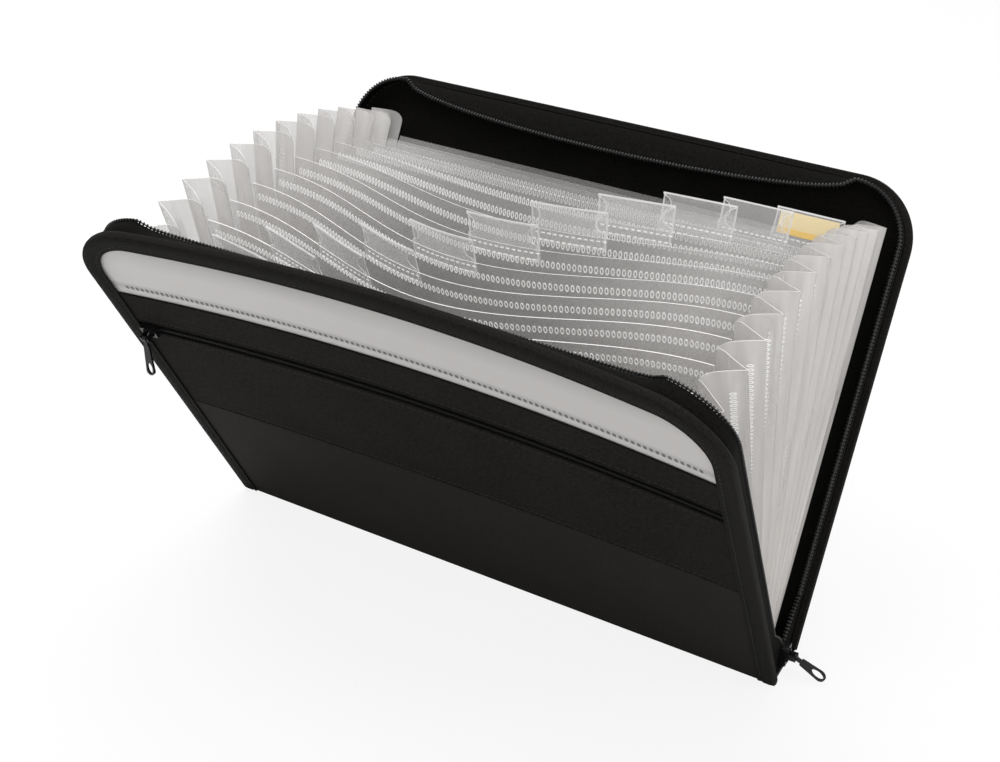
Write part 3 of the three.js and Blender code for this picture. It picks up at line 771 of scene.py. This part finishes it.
def build_cover_edge(cover, skins):
    name = cover["name"]
    low = BINDING_THICKNESS + FIT_GAP + FLOOR_CLEARANCE
    squash = cover_squash(cover)
    binding = Shell()
    add_edge_strip(binding, cover, low, binding_outline())
    place(make_piece(f"{name}_bound_edge", binding, [skins["binding"]], 60), cover["body"],
          [f"{name}_binding"], squash)
    tape = Shell()
    add_edge_strip(tape, cover, ZIP_LOW_END, tape_outline())
    place(make_piece(f"{name}_zip_band", tape, [skins["tape"]]), cover["body"],
          [f"{name}_zip_tape"], squash)
    middle_inset = ZIP_BAND_INSET + ZIP_TAPE / 2
    middle_depth = ZIP_BAND_DEPTH - COIL_HEIGHT / 2
    line = edge_point(cover, ZIP_LOW_END, middle_inset, middle_depth, 1)
    centres = resample(line, TOOTH_PITCH)
    coil = Shell()
    outline, faces = rounded_bar(TOOTH_LENGTH, COIL_WIDTH, COIL_HEIGHT)
    add_copies(coil, outline, faces, centres, *cover_frame(cover, centres))
    core, core_faces = ring_section(line, cover, 0.9, 0.7)
    coil.add(core, core_faces, core)
    place(make_piece(f"{name}_zip_teeth", coil, [skins["coil"]]), cover["body"],
          [f"{name}_zip_coil"], squash)
    build_binding_stitches(cover, skins, squash)


def ring_section(line, cover, width, height):
    """A thin rounded cord along a line on the cover's edge, which the teeth grip."""
    along, across, raised = cover_frame(cover, line)
    angle = np.linspace(0, 2 * math.pi, 8, endpoint=False)
    rings = line[:, None] + across[:, None] * np.cos(angle)[None, :, None] * width / 2
    rings = rings + raised[:, None] * np.sin(angle)[None, :, None] * height / 2
    return rings.reshape(-1, 3), tube_faces(len(line), 8)


def build_binding_stitches(cover, skins, squash):
    name = cover["name"]
    stitches = Shell()
    outline, faces = rounded_bar(2.1, 0.45, 0.4, 6)
    skin = FIT_GAP + BINDING_THICKNESS
    rows = [(BINDING_WIDTH - BINDING_SEAM, -skin + 0.05, 0), (ZIP_BAND_INSET + ZIP_TAPE + 0.1, 5.6, 0.1)]
    for inset, depth, droop in rows:
        line = edge_point(cover, 8 if depth < 0 else ZIP_LOW_END + 2, inset, depth, droop, 3.0)
        centres = resample(line, STITCH_PITCH)
        add_copies(stitches, outline, faces, centres, *cover_frame(cover, centres))
    piece = make_piece(f"{name}_edge_stitches", stitches, [skins["thread"]])
    place(piece, cover["body"], (), squash)


def build_window_marks(skins):
    """The row of short dashes just above the window's lower edge."""
    x = np.arange(-156, 157, WINDOW_MARK_PITCH)
    centres = on_cover(FRONT, x, WINDOW_BOTTOM + WINDOW_MARK_UP, BOARD_DEPTH)
    along = unit(np.gradient(centres, axis=0))
    raised = np.tile(cover_normal(FRONT), (len(x), 1))
    across = unit(np.cross(raised, along))
    marks = Shell()
    outline, faces = rounded_bar(1.8, 2.7, 0.2)
    add_copies(marks, outline, faces, centres, along, across, raised)
    add_marks("window_marks", marks, skins["mark"], "front_cover", cover_squash(FRONT))


def build_pocket_zip(skins):
    reach = COVER_WIDTH / 2 - BINDING_WIDTH
    fine_x = np.linspace(-reach, reach, 120)
    depth = BOARD_DEPTH - FIT_GAP - COIL_HEIGHT / 4
    line = on_cover(FRONT, fine_x, POCKET_ZIP_UP, depth)
    centres = resample(line, TOOTH_PITCH)
    teeth = Shell()
    outline, faces = rounded_bar(TOOTH_LENGTH, COIL_WIDTH, COIL_HEIGHT / 2)
    add_copies(teeth, outline, faces, centres, *cover_frame(FRONT, centres))
    core, core_faces = ring_section(line, FRONT, 1.4, 0.5)
    teeth.add(core, core_faces, core)
    squash = cover_squash(FRONT)
    piece = make_piece("pocket_zip_teeth", teeth, [skins["dull_coil"]])
    place(piece, "front_cover", ["pocket_zip_coil"], squash)
    seams = Shell()
    for up, wide in ((SLOT_LOW - HEM_ABOVE, 1.5), (SLOT_HIGH + HEM_ABOVE, 1.5),
                     (LOWER_PANEL_TOP + 1.2, 1.8), (WINDOW_BOTTOM - 0.9, 1.6)):
        seam = on_cover(FRONT, np.linspace(-reach - 1, reach + 1, 90), up, 0.1)
        rings, ring_faces = ring_section(seam, FRONT, wide, 0.9)
        seams.add(rings, ring_faces, rings)
    place(make_piece("panel_hems", seams, [skins["nylon"]]), "front_cover", (), squash)
    stitches = Shell()
    outline, faces = rounded_bar(1.9, 0.4, 0.35, 6)
    for up in (SLOT_LOW - PANEL_SEAM, SLOT_HIGH + PANEL_SEAM, LOWER_PANEL_TOP + 3.4):
        centres = resample(on_cover(FRONT, fine_x, up, -0.05), STITCH_PITCH)
        add_copies(stitches, outline, faces, centres, *cover_frame(FRONT, centres))
    place(make_piece("panel_stitches", stitches, [skins["thread"]]), "front_cover", (), squash)


# Bellows
def build_divider(k, skins):
    x = np.linspace(-DIVIDER_HALF, DIVIDER_HALF, 57)
    up = np.linspace(0, DIVIDER_HEIGHT, 25)
    across, height = np.meshgrid(x, up)
    grain = np.stack([across, height, np.full_like(across, k * 40.0)], axis=-1)
    sheet = Shell()
    front_face = on_divider(k, across, height, -FILM / 2)
    back_face = on_divider(k, across, height, FILM / 2)
    add_slab(sheet, front_face, back_face, grain, 0, 1)
    piece = make_piece(f"pocket_sheet_{k:02d}", sheet, [skins["film"], skins["rim"]])
    piece.visible_shadow = False
    place(piece, divider_body(k), [f"divider_{k:02d}"], divider_squash(k))
    welds = Shell()
    centres_x = np.arange(-DIVIDER_HALF + 4, DIVIDER_HALF - 3, WELD_PITCH)
    up_at = np.full_like(centres_x, DIVIDER_HEIGHT - WELD_DROP)
    along, upward, raised = divider_frame(k, centres_x, up_at)
    centres = on_divider(k, centres_x, up_at, -FILM / 2)
    outline, faces = oval_ring(*WELD_RING)
    toward_front = -raised if raised[0][1] > 0 else raised
    add_copies(welds, outline, faces, centres, along, upward, toward_front)
    add_marks(f"sheet_welds_{k:02d}", welds, skins["weld"], divider_body(k), divider_squash(k))


def tab_centre(k):
    last = DIVIDER_HALF - TAB_WIDTH / 2
    return FIRST_TAB_X + (last - FIRST_TAB_X) * (k - 1) / (DIVIDERS - 1)


def build_tab(k, skins):
    """Clear sleeve over the divider's top edge, its front wall cut with a notch at each end."""
    centre = tab_centre(k)
    inner = FILM / 2 + TAB_GAP
    outer = inner + TAB_WALL
    low = DIVIDER_HEIGHT - TAB_LAP
    high = DIVIDER_HEIGHT + TAB_RISE
    middle = DIVIDER_HEIGHT + TAB_RISE / 2 + 0.5
    share = np.concatenate([[-1], np.linspace(-0.96, 0.96, 13), [1]])
    sleeve = Shell()
    for side in (-1, 1):
        up = np.append(np.linspace(low, high - TAB_BORDER, 22), high)
        arc = np.sqrt(np.maximum(0, 1 - ((up - middle) / TAB_NOTCH_HALF) ** 2))
        notch = TAB_NOTCH_DEPTH * arc if side < 0 else np.zeros_like(up)
        x = centre + share[None, :] * (TAB_WIDTH / 2 - notch)[:, None]
        height = np.repeat(up[:, None], len(share), axis=1)
        grain = np.stack([x, height, np.full_like(x, side * 5.0 + k)], axis=-1)
        lean_in = np.clip((height - high + 2.5) / 2.5, 0, 1) ** 2 * (inner - 0.15)
        add_slab(sleeve, on_divider(k, x, height, side * (outer - lean_in)),
                 on_divider(k, x, height, side * (inner - lean_in)), grain, 0, 1, framed=True)
    piece = make_piece(f"tab_sleeve_{k:02d}", sleeve, [skins["tab"], skins["tab_rim"]])
    piece.visible_shadow = False
    place(piece, divider_body(k), [f"tab_{k:02d}"], divider_squash(k))
    hem = Shell()
    outline, faces = rounded_bar(2.0, 0.75, 0.35, 6)
    x = np.arange(centre - TAB_WIDTH / 2 + 2, centre + TAB_WIDTH / 2 - 1, 3.0)
    for up, shift in ((low + 1.4, 0), (low + 5.2, 1.5)):
        up_at = np.full_like(x, up)
        along, upward, raised = divider_frame(k, x + shift, up_at)
        centres = on_divider(k, x + shift, up_at, -outer - 0.05)
        add_copies(hem, outline, faces, centres, along, upward, raised)
    add_marks(f"tab_hem_{k:02d}", hem, skins["weld"], divider_body(k), divider_squash(k))


def build_label(skins):
    half = TAB_WIDTH / 2 - LABEL_MARGIN
    centre = tab_centre(DIVIDERS)
    low = DIVIDER_HEIGHT + FIT_GAP
    label = Shell()
    parts = ((low, low + LABEL_STRIP, 1), (low + LABEL_STRIP, low + LABEL_HEIGHT, 0))
    for start, end, slot in parts:
        x, up = np.meshgrid(np.linspace(centre - half, centre + half, 9), np.linspace(start, end, 4))
        grain = np.stack([x, up, np.zeros_like(x)], axis=-1)
        add_slab(label, on_divider(DIVIDERS, x, up, -0.15), on_divider(DIVIDERS, x, up, 0.15), grain, slot)
    piece = make_piece("label_insert", label, [skins["card"], skins["strip"]])
    place(piece, divider_body(DIVIDERS), ["tab_label"], divider_squash(DIVIDERS))


def build_end_sheet(cover, skins):
    """The bellows' first or last sheet, glued to the cover's inner face."""
    x, up = np.meshgrid(np.linspace(-DIVIDER_HALF, DIVIDER_HALF, 41), np.linspace(0, DIVIDER_HEIGHT, 19))
    height = up + BELLOWS_FOOT
    grain = np.stack([x, up, np.zeros_like(x)], axis=-1)
    sheet = Shell()
    glued_face = on_cover(cover, x, height, END_SHEET_DEPTH)
    free_face = on_cover(cover, x, height, END_SHEET_DEPTH + FILM)
    add_slab(sheet, glued_face, free_face, grain, 0, 1)
    name = cover["name"]
    piece = make_piece(f"{name}_glued_sheet", sheet, [skins["film"], skins["rim"]])
    place(piece, cover["body"], [f"bellows_{name}_sheet"], cover_squash(cover))


def fold_edge(station, up):
    """Line where the gusset meets station 0, the front cover, a divider, or the back cover."""
    start = END_SHEET_DEPTH + FILM + FIT_GAP
    if station == 0:
        return on_cover(FRONT, GUSSET_FOLD_X, up + BELLOWS_FOOT, start)
    if station == DIVIDERS + 1:
        return on_cover(BACK, GUSSET_FOLD_X, up + BELLOWS_FOOT, start)
    return on_divider(station, GUSSET_FOLD_X, up, 0)


def station_normal(station):
    if station == 0:
        return np.array([0, math.cos(FRONT["lean"]), math.sin(FRONT["lean"])])
    if station == DIVIDERS + 1:
        return np.array([0, math.cos(BACK["lean"]), -math.sin(BACK["lean"])])
    return np.array([0, math.cos(divider_angle(station)), -math.sin(divider_angle(station))])


def half_panel(station, toward, side, up, share):
    """Points of the gusset film from a fold line out to the middle of the pocket's outer fold."""
    corner = 1 - np.minimum(share / GUSSET_CORNER_SHARE, 1)
    top = 1 - GUSSET_CORNER / GUSSET_HEIGHT * (1 - np.sqrt(1 - corner**2))
    up = up[:, None] * top[None, :]
    near, far = fold_edge(station, up), fold_edge(toward, up)
    middle = (near + far) / 2
    across = near + (middle - near) * share[None, :, None]
    swell = np.sin(math.pi * share)[None, :] * up / GUSSET_HEIGHT
    across[..., 0] = side * (GUSSET_FOLD_X + GUSSET_REACH * share)[None, :]
    across[..., 0] += side * 1.2 * swell
    across += 1.1 * swell[..., None] * np.sign(toward - station) * station_normal(station)
    return across


def build_gusset(station, directions, body, squash, skins, suffix=""):
    up = np.linspace(0.4, GUSSET_HEIGHT, 30)
    corner_steps = GUSSET_CORNER_SHARE * np.array([0, 0.03, 0.1, 0.22, 0.4, 0.7])
    share = np.concatenate([corner_steps, np.linspace(GUSSET_CORNER_SHARE, 1, 7)])
    film, marks = Shell(), Shell()
    outline, faces = oval_ring(*COMB_RING, 10)
    normal = station_normal(station)
    for step in directions:
        toward = station + step
        for side in (-1, 1):
            points = half_panel(station, toward, side, up, share)
            grain = np.zeros_like(points)
            grain[..., 0] = share[None, :] * GUSSET_REACH + station * 37.0 + side * 400.0
            grain[..., 1] = up[:, None]
            grain[..., 2] = step * 9.0
            add_slab(film, points - normal * FILM / 2, points + normal * FILM / 2, grain, 0, 1)
            if station <= DIVIDERS:
                mark_up = np.arange(COMB_LOW, GUSSET_HEIGHT - COMB_TOP_MARGIN, WELD_PITCH)
                spots = half_panel(station, toward, side, mark_up, WELD_SHARE + np.array([-0.04, 0, 0.04]))
                centres = spots[:, 1]
                along = unit(spots[:, 2] - spots[:, 0])
                upward = unit(np.gradient(centres, axis=0))
                raised = unit(np.cross(along, upward))
                raised *= np.where(raised[:, 1:2] * side > 0, -1, 1)
                add_copies(marks, outline, faces, centres + raised * FILM / 2, along, upward, raised)
    name = f"gusset_{station:02d}{suffix}"
    piece = make_piece(f"{name}_film", film, [skins["gusset"], skins["gusset_rim"]])
    place(piece, body, ["left_gusset", "right_gusset"] if station == 0 else (), squash)
    if marks.count:
        add_marks(f"{name}_welds", marks, skins["weld"], body, squash)


def build_gussets(skins):
    depth = END_SHEET_DEPTH + FILM
    build_gusset(0, (1,), "front_cover", cover_squash(FRONT, END_GUSSET_KEEP, depth), skins)
    for k in range(1, DIVIDERS + 1):
        if k == 5:
            build_gusset(k, (-1,), "base", divider_squash(k, GUSSET_KEEP, FRONT_HINGE), skins, "_front")
            build_gusset(k, (1,), "base", divider_squash(k, GUSSET_KEEP, BACK_HINGE), skins, "_back")
        else:
            hinge = FRONT_HINGE if k < 5 else BACK_HINGE
            build_gusset(k, (-1, 1), divider_body(k), divider_squash(k, GUSSET_KEEP, hinge), skins)
    build_gusset(DIVIDERS + 1, (-1,), "back_cover", cover_squash(BACK, END_GUSSET_KEEP, depth), skins)


# Foot of the zip at each end of the base
def zip_foot_line(cover):
    """From the low end of the cover's coil down into the closed zip at the middle."""
    inset = ZIP_BAND_INSET + ZIP_TAPE / 2
    end = edge_point(cover, ZIP_LOW_END, inset, ZIP_BAND_DEPTH - COIL_HEIGHT / 2, 1)[0]
    share = np.linspace(0, 1, 15)
    y = end[1] * (1 - share) ** 1.5 + cover["sign"] * 0.35
    z = end[2] + (13.5 - end[2]) * share
    return np.stack([np.full_like(y, abs(end[0])), y, z], axis=-1)


def build_gore(cover, side, skins):
    sign = cover["sign"]
    line = zip_foot_line(cover)
    rows = len(line)
    edge_up = np.linspace(ZIP_LOW_END + 1, 4, rows)
    edge = on_cover(cover, 0, edge_up, BAND_START + 0.3)
    share = np.linspace(0, 1, 8)
    x = COVER_WIDTH / 2 - ZIP_BAND_INSET - ZIP_TAPE / 2
    grid = line[:, None] * (1 - share)[None, :, None] + edge[:, None] * share[None, :, None]
    grid[..., 0] = x
    lowest = np.array([x, sign * 0.3, 4.0])
    last = lowest + (np.array([x, edge[-1, 1], 4.0]) - lowest) * share[:, None]
    grid = np.concatenate([grid, last[None]])
    grid[..., 0] *= side
    grain = np.stack([grid[..., 1], grid[..., 2], np.zeros(grid.shape[:2])], axis=-1)
    shift = np.array([ZIP_TAPE / 2, 0, 0])
    gore = Shell()
    add_slab(gore, grid - shift, grid + shift, grain)
    end = "left" if side < 0 else "right"
    piece = make_piece(f"zip_foot_{end}_{cover['name']}", gore, [skins["tape"]])
    if cover is FRONT:
        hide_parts(f"zip_gore_{end}")
    teeth = Shell()
    closed = np.array([[line[-1, 0], sign * 0.35, z] for z in np.linspace(12, 5.5, 6)])
    path = np.concatenate([line, closed])
    path[:, 0] *= side
    centres = resample(path, TOOTH_PITCH)
    along = unit(np.gradient(centres, axis=0))
    across = np.tile([side * 1.0, 0, 0], (len(centres), 1))
    raised = unit(np.cross(along, across))
    outline, faces = rounded_bar(TOOTH_LENGTH, COIL_WIDTH, COIL_HEIGHT * 0.8)
    add_copies(teeth, outline, faces, centres, along, across, raised)
    coil = make_piece(f"zip_foot_teeth_{end}_{cover['name']}", teeth, [skins["coil"]])
    for part in (piece, coil):
        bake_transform(part)


def dress_cad_nodes(skins):
    """Nodes whose CAD shape stays, with softened edges on the metal."""
    finishes = {
        "base_cloth": "base_cloth",
        "base_board": "base_board",
        "base_lining": "base_lining",
        "main_slider": "metal",
        "main_pull": "metal",
        "pocket_slider": "metal",
        "pocket_pull": "metal",
    }
    for name, skin in finishes.items():
        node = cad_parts[name]
        node.data.materials.clear()
        node.data.materials.append(skins[skin])
        if skin == "metal":
            bevel = node.modifiers.new("soft_edges", "BEVEL")
            bevel.width = 0.25 * MM
            bevel.segments = 2
            bevel.limit_method = "ANGLE"


# Studio
def seen_directly(nodes, links):
    """1 for what the camera sees itself or through a clear piece, else 0."""
    paths = nodes.new("ShaderNodeLightPath")
    camera, through = paths.outputs["Is Camera Ray"], paths.outputs["Is Transmission Ray"]
    return math_node(nodes, links, "MAXIMUM", camera, through)


def build_floor():
    half, z = 6.0, -0.0004
    mesh = bpy.data.meshes.new("studio_floor")
    corners = [(-half, -half, z), (half, -half, z), (half, half, z), (-half, half, z)]
    mesh.from_pydata(corners, [], [(0, 1, 2, 3)])
    floor = bpy.data.objects.new("studio_floor", mesh)
    bpy.context.collection.objects.link(floor)
    material, nodes, links = new_material("floor_paper")
    shader = nodes["Principled BSDF"]
    shader.inputs["Base Color"].default_value = (0.8, 0.8, 0.8, 1)
    shader.inputs["Roughness"].default_value = 0.9
    shader.inputs["Specular IOR Level"].default_value = 0.1
    white = nodes.new("ShaderNodeEmission")
    white.inputs["Strength"].default_value = 1.0
    share = math_node(nodes, links, "MULTIPLY", seen_directly(nodes, links), 0.85)
    mix = nodes.new("ShaderNodeMixShader")
    links.new(share, mix.inputs[0])
    links.new(shader.outputs[0], mix.inputs[1])
    links.new(white.outputs[0], mix.inputs[2])
    links.new(mix.outputs[0], nodes["Material Output"].inputs["Surface"])
    mesh.materials.append(material)


def build_world():
    world = bpy.data.worlds.new("studio_air")
    bpy.context.scene.world = world
    world.use_nodes = True
    nodes, links = world.node_tree.nodes, world.node_tree.links
    background = nodes["Background"]
    background.inputs["Color"].default_value = (1, 1, 1, 1)
    strength = math_node(nodes, links, "MULTIPLY_ADD", seen_directly(nodes, links), 0.45, 0.55)
    links.new(strength, background.inputs["Strength"])


def add_softbox(name, place_at, target, size, power):
    light = bpy.data.lights.new(name, "AREA")
    light.shape = "RECTANGLE"
    light.size, light.size_y = size
    light.energy = power
    lamp = bpy.data.objects.new(name, light)
    bpy.context.collection.objects.link(lamp)
    lamp.location = place_at
    aim = np.array(target) - np.array(place_at)
    lamp.rotation_mode = "QUATERNION"
    lamp.rotation_quaternion = Vector(aim).to_track_quat("-Z", "Y")
    return lamp


def build_camera():
    """The photograph's viewpoint, solved from the covers' edges."""
    right = (0.8657, 0.5006, 0.0)
    upward = (-0.2709, 0.4684, 0.8409)
    backward = (0.4210, -0.7280, 0.5411)
    data = bpy.data.cameras.new("photo_camera")
    data.sensor_width = 36
    data.lens = 54.66
    data.clip_start = 0.01
    camera = bpy.data.objects.new("photo_camera", data)
    bpy.context.collection.objects.link(camera)
    turn = Matrix([right, upward, backward]).transposed().to_4x4()
    camera.matrix_world = Matrix.Translation((0.3385, -0.5870, 0.5603)) @ turn
    bpy.context.scene.camera = camera


def build_studio():
    scene = bpy.context.scene
    scene.view_settings.view_transform = "Standard"
    scene.cycles.transparent_max_bounces = 64
    scene.cycles.max_bounces = 3
    scene.cycles.diffuse_bounces = 1
    scene.cycles.glossy_bounces = 1
    scene.cycles.caustics_reflective = False
    scene.cycles.caustics_refractive = False
    build_camera()
    build_floor()
    build_world()
    add_softbox("overhead_box", (-0.5, 0.35, 1.5), (0, 0, 0.1), (1.6, 1.2), 24)
    add_softbox("front_box", (0.9, -1.4, 1.1), (0, 0, 0.1), (1.2, 1.2), 11)
    add_softbox("side_strip", (1.3, 0.2, 0.7), (0.1, 0, 0.15), (0.25, 1.0), 5)


def build_file():
    skins = make_materials()
    build_front_skins(skins)
    build_back_skins(skins)
    for cover in (FRONT, BACK):
        build_cover_edge(cover, skins)
        build_end_sheet(cover, skins)
    build_window_marks(skins)
    build_pocket_zip(skins)
    for k in range(1, DIVIDERS + 1):
        build_divider(k, skins)
        build_tab(k, skins)
    build_label(skins)
    build_gussets(skins)
    for cover in (FRONT, BACK):
        for side in (-1, 1):
            build_gore(cover, side, skins)
    dress_cad_nodes(skins)


build_studio()
build_file()
